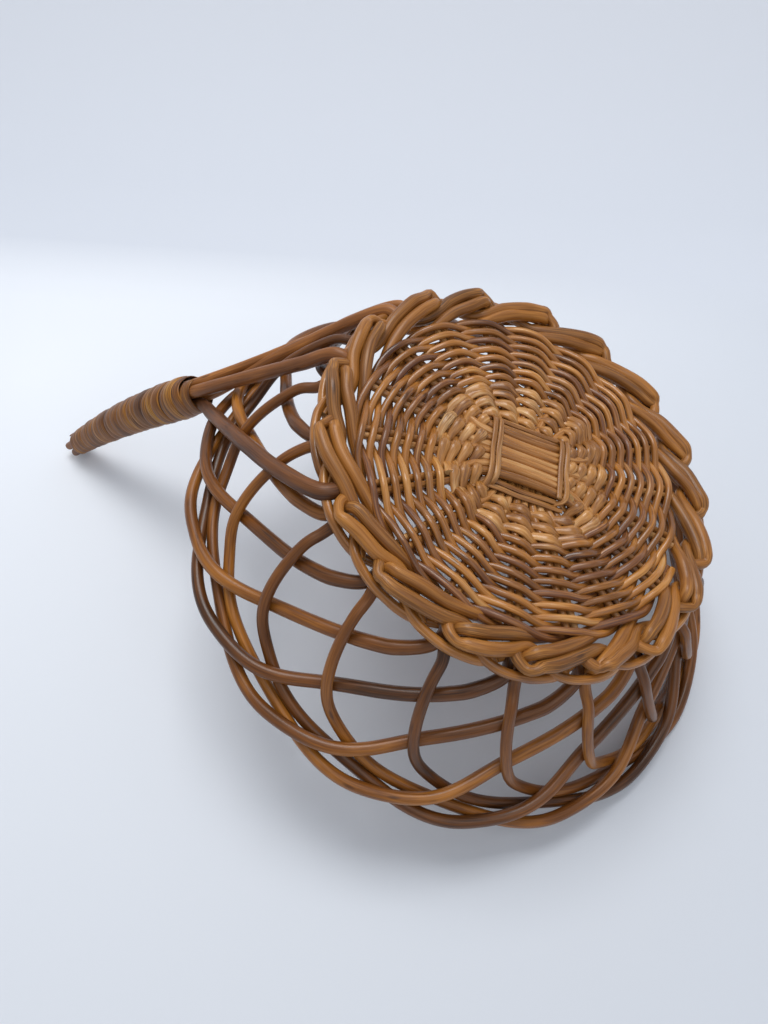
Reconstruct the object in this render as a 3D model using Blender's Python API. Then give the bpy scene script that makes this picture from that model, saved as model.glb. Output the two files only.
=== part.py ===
"""Willow collection basket with a bound handle, lying upside down on its rim and handle tip.

The basket is built in its own frame, with the middle of its base at the origin, the base on
top, the wall below it and the handle towards -X. At the end it is leaned over until the rim
and the tip of the handle stand on the floor.
"""
import math

import bmesh
import bpy
import numpy as np
from mathutils import Matrix, Vector

# Overall sizes, in metres
KINK_RADIUS = 0.1055      # where the rods turn over the edge of the base
WALL_TOP_RADIUS = 0.1035  # centre of the wall at the base
RIM_RADIUS = 0.158        # centre of the wall at its full depth
WALL_DEPTH = 0.0935       # from the base to the rim
WALL_HOLLOW = 0.0037      # how far the wall is drawn in halfway down
RIM_SHIFT = 0.0055        # how far the rim stands off centre, away from the handle
GAP = 0.0003              # clearance between pieces that touch

# Lattice rods
POSITIONS = 18            # rods in the lattice, and strokes in the border
STEPS_SPANNED = 6         # positions that one rod's arch spans
FIRST_POSITION = 8.0      # degrees from +X
ROD = 0.0066              # thickness

# Base
STICK = 0.0039
ACROSS_STICKS = 8
UNDER_STICKS = 10
STICKS_TURN = -2.5        # degrees between a stick pair and the border position beside it
WEAVER = 0.0026
WALE = 0.0028
BASE_DROP = 0.0078        # middle of the weave below the top of the border
BINDING_TURNS = 2
CORNER_EASE = 0.0016      # how far the binding swings out past the corners of the cross
OPENING_LENGTH = 0.008    # length over which the sticks open out into pairs
OPENING_SLOPE_SHARE = 0.40  # how much later the middle sticks open, by their distance in

# Handle
HANDLE_ROD = 0.0074
GRIP_TOP_RADIUS = 0.168   # start of the grip: distance from the basket's axis
GRIP_TOP_DEPTH = 0.099    # and below the base
TIP_RADIUS = 0.247
TIP_DEPTH = 0.238
GRIP_BOW = 0.0037         # how far the grip bends outward at its middle
SKEIN_THICKNESS = 0.0010
SKEIN_SLIT = 0.0006       # open gap between two turns
SKEIN_TURNS = 24
GRIP_BARE_END = 0.004     # rods that stand out past the winding

# Tube sides: bevel_resolution 1 gives six, 0 gives four
SIX_SIDES = 1
FOUR_SIDES = 0
SKEIN_STEPS = 20          # points in one turn of the winding
MERGE_DISTANCE = 0.00001
LEAN_STEPS = 40           # halvings of the range in which the lean is looked for

# Route of a lattice rod: turn in positions, depth in shares of WALL_DEPTH, side from
# 1 (outside its neighbours) to -1 (inside them)
ROUTE_SHARES = (
    (0.015, 0.130, 0.0), (0.030, 0.185, 0.1), (0.060, 0.245, 1.0), (0.150, 0.360, 1.0),
    (0.290, 0.500, 1.0),
    (0.460, 0.620, 0.9), (0.650, 0.700, -0.3), (0.900, 0.755, -1.0), (1.250, 0.800, -1.0),
    (1.650, 0.840, -1.0), (2.050, 0.870, -1.0), (2.400, 0.895, -1.0), (2.700, 0.910, -0.3),
    (3.000, 0.905, 0.7), (3.300, 0.875, 1.0), (3.600, 0.810, 1.0), (3.900, 0.730, 1.0),
    (4.125, 0.655, 0.5), (4.325, 0.575, -0.9), (4.600, 0.465, -1.0), (4.950, 0.330, -1.0),
    (5.300, 0.230, -0.95), (5.440, 0.184, -0.35), (5.600, 0.140, 0.35),
)
SIDE_SHARE = 0.667        # of one lay, the radial swing from the wall's middle to either side

# Strokes of the border, from the kink to the tucked end: turn in positions, then how far in
# and how far down, both in lays of one rod and one gap
OUTER_STROKE_SHARES = (
    (0.00, 0.00, 1.16), (0.03, 0.33, 0.62), (0.15, 0.62, 0.52), (0.40, 0.86, 0.64),
    (0.75, 1.35, 1.39), (1.05, 1.87, 1.71), (1.35, 2.28, 1.77),
)
INNER_STROKE_SHARES = (
    (-0.27, 0.07, 1.19), (-0.23, 0.58, 0.62), (-0.10, 1.29, 0.52), (0.10, 1.74, 0.52),
    (0.40, 1.96, 0.64), (0.75, 2.45, 1.39), (1.05, 2.94, 1.71), (1.35, 3.35, 1.77),
)
TAIL_AT_STICK_SHARE = 2.86   # of a lay: how far in the inner stroke lies where the sticks end

# Wale round the legs, just below the border
WALE_DEPTH_SHARE = 0.156     # of WALL_DEPTH
# Turn in positions, swing outward and rise of a strand: across the steep leg, in the space,
# across the slanting returning leg, and in the next space
WALE_ROUTE_SHARES = (
    (-0.04, 1, 0), (0.06, 1, 0), (0.25, 0, 1),
    (0.44, -1, 0), (0.66, -1, 0), (0.81, 0, -1),
)
WALE_SWING_SHARE = 1.28      # of the clearance swing, for the slant of the wall and strand

# Handle rods: position on the border in degrees from +X, then the place in the bundle
HANDLE_ROUTES = (
    ("handle_rod_top_outer", 152.6, 1, 1),
    ("handle_rod_top_inner", 156.9, -1, 1),
    ("handle_rod_middle", 178.2, 1, -1),
    ("handle_rod_lower", 218.2, -1, -1),
)
HANDLE_DIRECTION = 180.0
# Route over the wall: share of the turn towards the handle, depth share, and how far a rod
# of the outer layer has climbed over the inner one
HANDLE_WALL_SHARES = (
    (0.00, 0.09, 0.00), (0.08, 0.22, 0.05), (0.28, 0.42, 0.45), (0.52, 0.62, 0.85),
    (0.82, 0.82, 1.00),
)
GRIP_RUN_SHARES = (0.0, 0.12, 0.3, 0.5, 0.7, 0.88, 1.0)

LAY = ROD + GAP
STICK_LAY = STICK + GAP
HANDLE_LAY = HANDLE_ROD + 2 * GAP
POSITION_ANGLE = math.tau / POSITIONS


def clear_scene():
    for item in list(bpy.data.objects):
        bpy.data.objects.remove(item, do_unlink=True)


def make_collection(name):
    group = bpy.data.collections.new(name)
    bpy.context.scene.collection.children.link(group)
    return group


def finish(name, colour, roughness):
    material = bpy.data.materials.new(name)
    material.use_nodes = True
    shader = material.node_tree.nodes["Principled BSDF"]
    shader.inputs["Base Color"].default_value = (*colour, 1.0)
    shader.inputs["Roughness"].default_value = roughness
    shader.inputs["Metallic"].default_value = 0.0
    return material


def polar(angle, radius, height):
    return Vector((radius * math.cos(angle), radius * math.sin(angle), height))


def wall_radius(depth_share):
    straight = WALL_TOP_RADIUS + (RIM_RADIUS - WALL_TOP_RADIUS) * depth_share
    return straight - 4 * WALL_HOLLOW * depth_share * (1 - depth_share)


def wall_point(angle, depth_share, outward):
    """A point on the wall, whose rings move off centre with depth."""
    point = polar(angle, wall_radius(depth_share) + outward, -WALL_DEPTH * depth_share)
    return point + Vector((RIM_SHIFT * depth_share, 0, 0))


def tube(name, points, thickness, material, resolution, cyclic=False):
    """A rod: a poly curve through the points with a round bevel and filled ends."""
    curve = bpy.data.curves.new(name, "CURVE")
    curve.dimensions = "3D"
    curve.bevel_depth = thickness / 2
    curve.bevel_resolution = resolution
    curve.use_fill_caps = not cyclic
    spline = curve.splines.new("POLY")
    spline.points.add(len(points) - 1)
    for slot, point in zip(spline.points, points):
        slot.co = (*point, 1.0)
    spline.use_cyclic_u = cyclic
    item = bpy.data.objects.new(name, curve)
    curve.materials.append(material)
    basket.objects.link(item)
    item.parent = resting_pose
    return item


def stroke_points(shares, angle):
    return [polar(angle + turn * POSITION_ANGLE, KINK_RADIUS - inward * LAY, -down * LAY)
            for turn, inward, down in shares]


def lattice_rod_points(angle):
    """One rod: border stroke, steep leg, rim, long returning leg, second border stroke."""
    start = stroke_points(OUTER_STROKE_SHARES, angle)[::-1]
    arch = [wall_point(angle + turn * POSITION_ANGLE, depth, side * SIDE_SHARE * LAY)
            for turn, depth, side in ROUTE_SHARES]
    end = stroke_points(INNER_STROKE_SHARES, angle + STEPS_SPANNED * POSITION_ANGLE)
    return start + arch + end


def make_lattice():
    willow = finish("lattice willow", (0.36, 0.15, 0.045), 0.42)
    for index in range(POSITIONS):
        angle = math.radians(FIRST_POSITION) + index * POSITION_ANGLE
        tube(f"lattice_rod_{index + 1:02d}", lattice_rod_points(angle), ROD, willow, SIX_SIDES)


def cross_clear(count):
    """Where a set of sticks leaves the cross and its binding."""
    other_half = (ACROSS_STICKS + UNDER_STICKS - count) * STICK_LAY / 2
    return other_half + BINDING_TURNS * row_pitch() + WEAVER


def opened_radius():
    """Where the sticks have opened out into evenly spaced pairs."""
    return math.hypot(cross_clear(ACROSS_STICKS), ACROSS_STICKS * STICK_LAY / 2) + OPENING_LENGTH


def beside(path, distance):
    """The path moved sideways, to its left, with its corners mitred."""
    moved = []
    for index, point in enumerate(path):
        before = (point - path[index - 1]) if index else (path[1] - point)
        after = (path[index + 1] - point) if index + 1 < len(path) else before
        heading = (before.xy.normalized() + after.xy.normalized()).normalized()
        reach = distance / heading.dot(before.xy.normalized())
        moved.append(point + Vector((-heading.y, heading.x, 0)) * reach)
    return moved


def stick_points(index, count, set_angle, level):
    """A base stick: parallel to its set in the middle, opened out into pairs at both ends."""
    pair = index // 2 - (count / 2 - 1) / 2
    offset = 2 * pair * STICK_LAY
    corner = cross_clear(count) + ((count / 2 - 1) * STICK_LAY - abs(offset)) * OPENING_SLOPE_SHARE
    end_radius = KINK_RADIUS - TAIL_AT_STICK_SHARE * LAY - ROD / 2 - GAP
    half = [Vector((corner, offset, level))]
    for radius in (opened_radius(), end_radius):
        half.append(polar(pair * POSITION_ANGLE, radius, 0))
    mirrored = [Vector((-point.x, point.y, point.z)) for point in half]
    lane = STICK_LAY / 2 * (1 if index % 2 else -1)
    turn = Matrix.Rotation(set_angle, 3, "Z")
    return [turn @ point - Vector((0, 0, BASE_DROP))
            for point in beside(mirrored[::-1] + half, lane)]


def make_sticks():
    willow = finish("base stick willow", (0.50, 0.27, 0.10), 0.45)
    across_angle = math.radians(FIRST_POSITION + STICKS_TURN) + POSITION_ANGLE / 2
    for index in range(ACROSS_STICKS):
        points = stick_points(index, ACROSS_STICKS, across_angle, STICK_LAY / 2)
        tube(f"base_stick_across_{index + 1}", points, STICK, willow, SIX_SIDES)
    for index in range(UNDER_STICKS):
        points = stick_points(index, UNDER_STICKS, across_angle + math.pi / 2, -STICK_LAY / 2)
        tube(f"base_stick_under_{index + 1:02d}", points, STICK, willow, SIX_SIDES)


def row_pitch():
    """Two strands cross between the sticks, side by side in each row."""
    return 2 * (WEAVER + GAP)


def weaver_lift(half_gap):
    """Height of a strand over a pair, so that its slope clears the pair's outer stick."""
    reach = (STICK + WEAVER) / 2 + 2 * GAP
    return reach * half_gap / math.sqrt((half_gap - STICK_LAY / 2) ** 2 - reach ** 2)


def binding_points(strand):
    """Strands round the cross of sticks: over one arm, down at the corner, under the next."""
    lift = (STICK + WEAVER) / 2 + 2 * GAP
    arm_x = UNDER_STICKS * STICK_LAY / 2
    arm_y = ACROSS_STICKS * STICK_LAY / 2
    side_step = (WEAVER + 2 * GAP) / 2
    across_angle = math.radians(FIRST_POSITION + STICKS_TURN) + POSITION_ANGLE / 2
    points = []
    for quarter in range(4 * BINDING_TURNS):
        grown = (WEAVER + GAP) / 2 + quarter / 4 * (row_pitch() + GAP)
        over_across = quarter % 2 == 0
        half_x, half_y = (arm_x, arm_y) if over_across else (arm_y, arm_x)
        level = STICK_LAY / 2 if over_across else -STICK_LAY / 2
        height = level + lift * (strand if over_across else -strand)
        corner_out = CORNER_EASE + strand * side_step
        along = half_x + grown
        run = [Vector((along, -half_y, height)),
               Vector((along, half_y, height)),
               Vector((along + corner_out, half_y + grown + corner_out, 0))]
        turn = Matrix.Rotation(across_angle + quarter * math.pi / 2, 3, "Z")
        points += [turn @ point - Vector((0, 0, BASE_DROP)) for point in run]
    return points[:-1]


def twining_points(strand):
    """A strand that spirals out, over one pair of sticks and under the next."""
    inner = opened_radius() + WEAVER
    outer = KINK_RADIUS - INNER_STROKE_SHARES[-1][1] * LAY - ROD / 2 - WEAVER - 2 * GAP
    crossings = int((outer - inner) / row_pitch() * POSITIONS)
    first = math.radians(FIRST_POSITION + STICKS_TURN)
    points = []
    for step in range(2 * crossings):
        angle = step * POSITION_ANGLE / 2
        radius = inner + angle / math.tau * row_pitch()
        half_gap = radius * math.sin(POSITION_ANGLE / 2)
        over = strand * (1 if (step // 2) % 2 == 0 else -1)
        if step % 2 == 0:
            points.append(polar(first + angle, radius, over * weaver_lift(half_gap) - BASE_DROP))
        else:
            points.append(polar(first + angle, radius + over * (WEAVER + GAP) / 2, -BASE_DROP))
    return points


def make_base_weave():
    skin = finish("slath binding willow", (0.55, 0.31, 0.12), 0.5)
    willow = finish("base weaver willow", (0.50, 0.25, 0.09), 0.45)
    for name, strand in (("over", 1), ("under", -1)):
        tube(f"slath_binding_{name}", binding_points(strand), WEAVER, skin, FOUR_SIDES)
        tube(f"base_weaver_{name}", twining_points(strand), WEAVER, willow, FOUR_SIDES)


def wale_points(strand):
    """A closed strand that passes outside every second leg of the wall."""
    middle = wall_radius(WALE_DEPTH_SHARE)
    swing = (ROD + WALE + 2 * GAP) / 2 * WALE_SWING_SHARE
    points = []
    for position in range(POSITIONS):
        for turn, outward, rise in WALE_ROUTE_SHARES:
            angle = math.radians(FIRST_POSITION) + (position + turn) * POSITION_ANGLE
            point = wall_point(angle, WALE_DEPTH_SHARE, strand * outward * swing)
            points.append(point + Vector((0, 0, strand * rise * (WALE + GAP) / 2)))
    return points


def make_wale():
    willow = finish("wale willow", (0.46, 0.23, 0.085), 0.45)
    for name, strand in (("outside", 1), ("inside", -1)):
        tube(f"wale_{name}", wale_points(strand), WALE, willow, FOUR_SIDES, cyclic=True)


def grip_frame():
    """Where the grip starts, its axis, the direction outward from it, and its length."""
    heading = polar(math.radians(HANDLE_DIRECTION), 1, 0)
    start = heading * GRIP_TOP_RADIUS - Vector((0, 0, GRIP_TOP_DEPTH))
    tip = heading * TIP_RADIUS - Vector((0, 0, TIP_DEPTH))
    axis = (tip - start).normalized()
    sideways = Vector((0, 0, 1)).cross(heading).normalized()
    outward = axis.cross(sideways).normalized()
    if outward.dot(heading) < 0:
        outward, sideways = -outward, -sideways
    return start, axis, outward, sideways, (tip - start).length


def bow(share):
    return 4 * GRIP_BOW * share * (1 - share)


def handle_rod_points(border_degrees, layer, side):
    """From the edge of the border over the wall, then along the grip to its tip."""
    clear = SIDE_SHARE * LAY + (ROD + HANDLE_ROD + 2 * GAP) / 2 / math.cos(wall_slope())
    begin = math.radians(border_degrees)
    sweep = math.radians(HANDLE_DIRECTION) - begin
    seat = KINK_RADIUS - OUTER_STROKE_SHARES[2][1] * LAY + (ROD + HANDLE_ROD) / 2 + GAP
    points = [polar(begin, seat, -OUTER_STROKE_SHARES[2][2] * LAY)]
    for turn, depth, climb in HANDLE_WALL_SHARES:
        over = HANDLE_LAY / math.cos(wall_slope()) * climb if layer > 0 else 0
        points.append(wall_point(begin + sweep * turn, depth, clear + over))
    start, axis, outward, sideways, length = grip_frame()
    lane = outward * layer * HANDLE_LAY / 2 - sideways * side * HANDLE_LAY / 2
    for share in GRIP_RUN_SHARES:
        points.append(start + axis * length * share + outward * bow(share) + lane)
    return points


def wall_slope():
    return math.atan2(RIM_RADIUS - WALL_TOP_RADIUS, WALL_DEPTH)


def make_handle_rods():
    bark = finish("handle willow in the bark", (0.20, 0.095, 0.055), 0.5)
    for name, degrees, layer, side in HANDLE_ROUTES:
        tube(name, handle_rod_points(degrees, layer, side), HANDLE_ROD, bark, SIX_SIDES)


def winding_radius():
    bundle = HANDLE_LAY / math.sqrt(2) + HANDLE_ROD / 2
    return bundle / math.cos(math.pi / SKEIN_STEPS) + GAP + SKEIN_THICKNESS / 2


def skein_profile(width):
    """The flat section of the skein, as a guide for the winding's bevel."""
    outline = bpy.data.curves.new("skein_section", "CURVE")
    outline.dimensions = "2D"
    outline.fill_mode = "NONE"
    spline = outline.splines.new("POLY")
    corners = ((-1, -1), (1, -1), (1, 1), (-1, 1))
    spline.points.add(len(corners) - 1)
    for slot, (across, along) in zip(spline.points, corners):
        slot.co = (across * SKEIN_THICKNESS / 2, along * width / 2, 0, 1)
    spline.use_cyclic_u = True
    guide = bpy.data.objects.new("skein_section", outline)
    guide.hide_render = True
    guide.display_type = "WIRE"
    guides.objects.link(guide)
    return guide


def least_gap(points, width):
    """Least open space between turns of the winding, measured on its centre points."""
    places = np.array(points)
    least = math.inf
    for index in range(len(places) - SKEIN_STEPS // 2):
        rest = places[index + SKEIN_STEPS // 2:]
        least = min(least, float(np.linalg.norm(rest - places[index], axis=1).min()))
    return least - width


def make_winding():
    """The flat skein, one unbroken strip wound round the four handle rods."""
    start, axis, outward, sideways, length = grip_frame()
    wound = length - GRIP_BARE_END - HANDLE_ROD
    pitch = wound / (SKEIN_TURNS + 1)
    width = pitch - SKEIN_SLIT
    radius = winding_radius()
    count = SKEIN_TURNS * SKEIN_STEPS + 1
    points = [polar(math.tau * step / SKEIN_STEPS, radius,
                    HANDLE_ROD + pitch * (step / SKEIN_STEPS + 0.5)) for step in range(count)]
    print(f"least gap between turns of the winding: {least_gap(points, width) * 1000:.2f} mm")
    curve = bpy.data.curves.new("handle_winding", "CURVE")
    curve.dimensions = "3D"
    curve.twist_mode = "Z_UP"
    curve.bevel_mode = "OBJECT"
    curve.bevel_object = skein_profile(width)
    curve.use_fill_caps = True
    spline = curve.splines.new("POLY")
    spline.points.add(count - 1)
    for slot, point in zip(spline.points, points):
        slot.co = (*point, 1)
    draft = bpy.data.objects.new("winding_draft", curve)
    basket.objects.link(draft)
    bpy.context.view_layer.update()
    mesh = bpy.data.meshes.new_from_object(
        draft.evaluated_get(bpy.context.evaluated_depsgraph_get()))
    bpy.data.objects.remove(draft, do_unlink=True)
    shape = bmesh.new()
    shape.from_mesh(mesh)
    bmesh.ops.remove_doubles(shape, verts=shape.verts, dist=MERGE_DISTANCE)
    for vertex in shape.verts:
        vertex.co.x += bow(vertex.co.z / length)
    bmesh.ops.recalc_face_normals(shape, faces=shape.faces)
    shape.to_mesh(mesh)
    shape.free()
    mesh.name = "handle_winding"
    mesh.materials.clear()
    mesh.materials.append(finish("peeled skein", (0.24, 0.16, 0.06), 0.4))
    winding = bpy.data.objects.new("handle_winding", mesh)
    winding.matrix_basis = Matrix.Translation(start) @ Matrix(
        (outward, axis.cross(outward), axis)).transposed().to_4x4()
    basket.objects.link(winding)
    winding.parent = resting_pose


def world_points(items):
    """Corners of the finished pieces, in the basket's own frame."""
    graph = bpy.context.evaluated_depsgraph_get()
    found = []
    for item in items:
        mesh = item.evaluated_get(graph).to_mesh()
        found += [item.matrix_world @ vertex.co for vertex in mesh.vertices]
        item.evaluated_get(graph).to_mesh_clear()
    return np.array(found)


def lean_on_floor():
    """Lean the basket until rim and handle tip are level, then stand it on the floor."""
    bpy.context.view_layer.update()
    pieces = [item for item in basket.objects if item.type in ("CURVE", "MESH")]
    handle = world_points([item for item in pieces if item.name.startswith("handle")])
    wall = world_points([item for item in pieces if item.name.startswith("lattice")])

    def lowest(points, lean):
        return float((points[:, 2] * math.cos(lean) - points[:, 0] * math.sin(lean)).min())

    low, high = 0.0, math.pi / 4
    for _ in range(LEAN_STEPS):
        lean = (low + high) / 2
        if lowest(handle, lean) < lowest(wall, lean):
            low = lean
        else:
            high = lean
    turned = world_points(pieces) @ np.array(Matrix.Rotation(lean, 3, "Y").transposed())
    middle = (turned.min(axis=0) + turned.max(axis=0)) / 2
    resting_pose.rotation_euler = (0, lean, 0)
    resting_pose.location = (-middle[0], -middle[1], -turned[:, 2].min())
    print(f"leans {math.degrees(lean):.2f} degrees on rim and handle tip")


clear_scene()
basket = make_collection("collection basket")
guides = make_collection("guides")
resting_pose = bpy.data.objects.new("resting_pose", None)
basket.objects.link(resting_pose)
make_lattice()
make_sticks()
make_base_weave()
make_wale()
make_handle_rods()
make_winding()
lean_on_floor()
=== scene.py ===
"""A willow collection basket with a bound handle, lying upside down on a pale table.

Lengths are in metres. The basket is described in its own frame, with the middle of its base at
the origin, the base on top, the wall below it and the handle towards -X. Every finished piece is
then leaned over onto its rim and the tip of its handle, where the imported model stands.
"""

import math
import random

import bpy
from mathutils import Matrix, Vector


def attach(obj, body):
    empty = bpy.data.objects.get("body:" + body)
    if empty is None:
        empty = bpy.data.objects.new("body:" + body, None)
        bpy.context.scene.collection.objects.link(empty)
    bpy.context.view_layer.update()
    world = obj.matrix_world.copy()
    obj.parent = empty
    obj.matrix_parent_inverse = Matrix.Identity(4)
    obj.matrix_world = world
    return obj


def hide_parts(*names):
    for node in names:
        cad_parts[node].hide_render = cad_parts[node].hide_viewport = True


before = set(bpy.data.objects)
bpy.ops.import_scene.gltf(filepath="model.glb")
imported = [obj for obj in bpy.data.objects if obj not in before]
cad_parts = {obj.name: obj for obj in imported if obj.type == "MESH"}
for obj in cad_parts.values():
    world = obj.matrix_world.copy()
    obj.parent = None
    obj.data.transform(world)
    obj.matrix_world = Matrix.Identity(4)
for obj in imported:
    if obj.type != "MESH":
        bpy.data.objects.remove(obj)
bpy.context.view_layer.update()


# Resting place. The basket lies upside down and leans away from its handle, held up by one side
# of the rim and by the cut ends of the handle rods.
LEAN = math.radians(21.054)
STAND = Vector((0.0999, 0.0, 0.13909))
RESTING = Matrix.Translation(STAND) @ Matrix.Rotation(LEAN, 4, "Y")


# The table: a pale sheet of card that sweeps up behind the basket. It is matt and a little blue,
# with a painted pool of light on the side of the window light and painted shade on the sweep.
FLOOR_REACH = 3.0
SWEEP_START = Vector((-0.06, 0.225, 0.0))
SWEEP_HEADING = math.radians(18.4)
SWEEP_RADIUS = 0.35
SWEEP_STEPS = 24
BACKDROP_RISE = 0.35
# Where the painted pool of light lies on the card, and how wide it spreads
PAINTED_LIGHT_POOL_SHIFT = (0.48, -0.08, 0.0)
PAINTED_LIGHT_POOL_SCALE = (1.6, 1.6, 1.6)
# Heights over which the card takes the backdrop's painted shade, and over which painted light
# lightens that
FOLD_PAINTED_SHADE_HEIGHTS = (0.0, 0.008)
BACKDROP_PAINTED_LIGHT_HEIGHTS = (0.03, 0.40)


def srgb(code):
    """A six-digit sRGB hex colour as linear RGBA."""
    parts = [int(code[place:place + 2], 16) / 255 for place in (0, 2, 4)]
    return tuple(((part + 0.055) / 1.055) ** 2.4 if part > 0.04045 else part / 12.92
                 for part in parts) + (1.0,)


def add_node(tree, kind, inputs=(), **settings):
    """Adds a node; each input is a value, or the socket that it is linked to."""
    made = tree.nodes.new(kind)
    for name, value in settings.items():
        setattr(made, name, value)
    for key, value in dict(inputs).items():
        if isinstance(value, bpy.types.NodeSocket):
            tree.links.new(value, made.inputs[key])
        else:
            made.inputs[key].default_value = value
    return made


def start_material(name):
    material = bpy.data.materials.new(name)
    material.use_nodes = True
    tree = material.node_tree
    return material, tree, tree.nodes["Principled BSDF"]


def make_table():
    across = Vector((math.cos(SWEEP_HEADING), math.sin(SWEEP_HEADING), 0))
    back = Vector((-across.y, across.x, 0))
    profile = [SWEEP_START - back * FLOOR_REACH, SWEEP_START]
    for step in range(1, SWEEP_STEPS + 1):
        angle = math.pi / 2 * step / SWEEP_STEPS
        profile.append(SWEEP_START + back * SWEEP_RADIUS * math.sin(angle)
                       + Vector((0, 0, SWEEP_RADIUS * (1 - math.cos(angle)))))
    profile.append(profile[-1] + Vector((0, 0, BACKDROP_RISE)))
    points = [tuple(point + across * side * FLOOR_REACH)
              for point in profile for side in (-1, 1)]
    faces = [(row, row + 1, row + 3, row + 2) for row in range(0, len(points) - 2, 2)]
    mesh = bpy.data.meshes.new("table_card")
    mesh.from_pydata(points, [], faces)
    for face in mesh.polygons:
        face.use_smooth = True
    table = bpy.data.objects.new("table_card", mesh)
    bpy.context.scene.collection.objects.link(table)
    return table


card, tree, shader = start_material("matt white card")
place = add_node(tree, "ShaderNodeTexCoord")
# Painted pool of light: the card's colour is lighter where the window light falls and darker away
# from it
spread = add_node(tree, "ShaderNodeMapping", {
    "Vector": place.outputs["Object"], "Location": PAINTED_LIGHT_POOL_SHIFT, "Scale": PAINTED_LIGHT_POOL_SCALE})
painted_light_pool = add_node(tree, "ShaderNodeTexGradient", {"Vector": spread.outputs["Vector"]},
                gradient_type="SPHERICAL")
tone = add_node(tree, "ShaderNodeMix", {
    "Factor": painted_light_pool.outputs["Fac"], 6: srgb("D3D8E0"), 7: srgb("EFF3F9"),
}, data_type="RGBA")
# Painted shade and light on the sweep: the backdrop is greyer near the fold and lighter towards
# its top
height = add_node(tree, "ShaderNodeSeparateXYZ", {"Vector": place.outputs["Object"]})
painted_light_rise = add_node(tree, "ShaderNodeMapRange", {
    0: height.outputs["Z"], 1: BACKDROP_PAINTED_LIGHT_HEIGHTS[0], 2: BACKDROP_PAINTED_LIGHT_HEIGHTS[1], 3: 0.0, 4: 1.0})
backdrop_painted_shading = add_node(tree, "ShaderNodeMix", {
    "Factor": painted_light_rise.outputs[0], 6: srgb("D6DBE4"), 7: srgb("F8FAFF"),
}, data_type="RGBA")
fold_into_painted_shade = add_node(tree, "ShaderNodeMapRange", {
    0: height.outputs["Z"], 1: FOLD_PAINTED_SHADE_HEIGHTS[0], 2: FOLD_PAINTED_SHADE_HEIGHTS[1], 3: 0.0, 4: 1.0})
shaded = add_node(tree, "ShaderNodeMix", {
    "Factor": fold_into_painted_shade.outputs[0], 6: tone.outputs[2], 7: backdrop_painted_shading.outputs[2],
}, data_type="RGBA")
tree.links.new(shaded.outputs[2], shader.inputs["Base Color"])
shader.inputs["Roughness"].default_value = 0.75
shader.inputs["Specular IOR Level"].default_value = 0.2
table = make_table()
table.data.materials.append(card)


# Light and camera. Daylight falls through a window above and behind the basket and comes back
# softly from the room. The camera stands over the near side, as it was fitted to the photograph.
DAYLIGHT_STRENGTH = 0.5
# Name, place, size and power in watts
LIGHTS = (
    ("window_light", (-0.26, 0.38, 1.75), 0.9, 17.5),
    ("room_light", (0.8, -0.6, 1.5), 1.2, 4.0),
)
LIGHT_AIM = (0.0, 0.0, 0.05)
CAMERA_PLACE = (0.1300, -0.2581, 0.4206)
CAMERA_TURNS = (37.212, -0.799, 23.681)
CAMERA_SENSOR_MM = 36.0
CAMERA_LENS_MM = 27.2

scene = bpy.context.scene
scene.view_settings.view_transform = "Standard"
world = bpy.data.worlds.new("soft daylight")
scene.world = world
world.use_nodes = True
sky = world.node_tree.nodes["Background"]
sky.inputs["Color"].default_value = srgb("F2F6FC")
sky.inputs["Strength"].default_value = DAYLIGHT_STRENGTH

for name, light_place, size, watts in LIGHTS:
    lamp = bpy.data.lights.new(name, "AREA")
    lamp.size = size
    lamp.energy = watts
    holder = bpy.data.objects.new(name, lamp)
    holder.location = light_place
    aim = Vector(LIGHT_AIM) - Vector(light_place)
    holder.rotation_euler = aim.to_track_quat("-Z", "Y").to_euler()
    scene.collection.objects.link(holder)

camera_data = bpy.data.cameras.new("photograph_camera")
camera_data.sensor_width = CAMERA_SENSOR_MM
camera_data.lens = CAMERA_LENS_MM
camera = bpy.data.objects.new("photograph_camera", camera_data)
camera.location = CAMERA_PLACE
camera.rotation_euler = [math.radians(turn) for turn in CAMERA_TURNS]
scene.collection.objects.link(camera)
scene.camera = camera


# Lattice rods. Whole stained willow rods, steamed and bent: each folds out of the border, runs
# down as a steep leg, arches along the rim, comes back up as a long slanting leg and folds into
# the border again. It passes outside two neighbours and inside three.
WALL_TOP_RADIUS = 0.1035
RIM_RADIUS = 0.158
WALL_DEPTH = 0.0935
WALL_HOLLOW = 0.0037
RIM_SHIFT = 0.0055
POSITIONS = 18
POSITION_ANGLE = math.tau / POSITIONS
STEPS_SPANNED = 6
FIRST_POSITION = math.radians(8.0)
ROD = 0.0066
# A rod tapers: its share at the steep leg, and the turn in positions where it is full
THIN_END = 0.84
FULL_AT = 4
SIDE_SWING = 0.0046
ARCH_WEAR = 0.1
ROD_STEP = 0.0015

# Turn in positions, depth in shares of the wall's, side from 1 (outside) to -1 (inside)
ARCH_SHARES = (
    (0.090, 0.290, 0.0), (0.175, 0.410, 0.6), (0.290, 0.530, 0.8), (0.440, 0.655, 0.5),
    (0.660, 0.775, -0.8), (0.900, 0.832, -1.0), (1.150, 0.866, -1.0), (1.460, 0.885, -1.0),
    (1.900, 0.903, -1.0), (2.200, 0.915, -0.7), (2.600, 0.922, 0.2), (3.000, 0.908, 1.0),
    (3.300, 0.880, 1.0), (3.600, 0.842, 1.0), (3.850, 0.792, 0.9), (4.100, 0.737, 0.0),
    (4.350, 0.670, -0.9), (4.650, 0.576, -1.0), (5.000, 0.478, -1.0), (5.300, 0.398, -1.0),
    (5.600, 0.308, -1.0),
)
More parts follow.
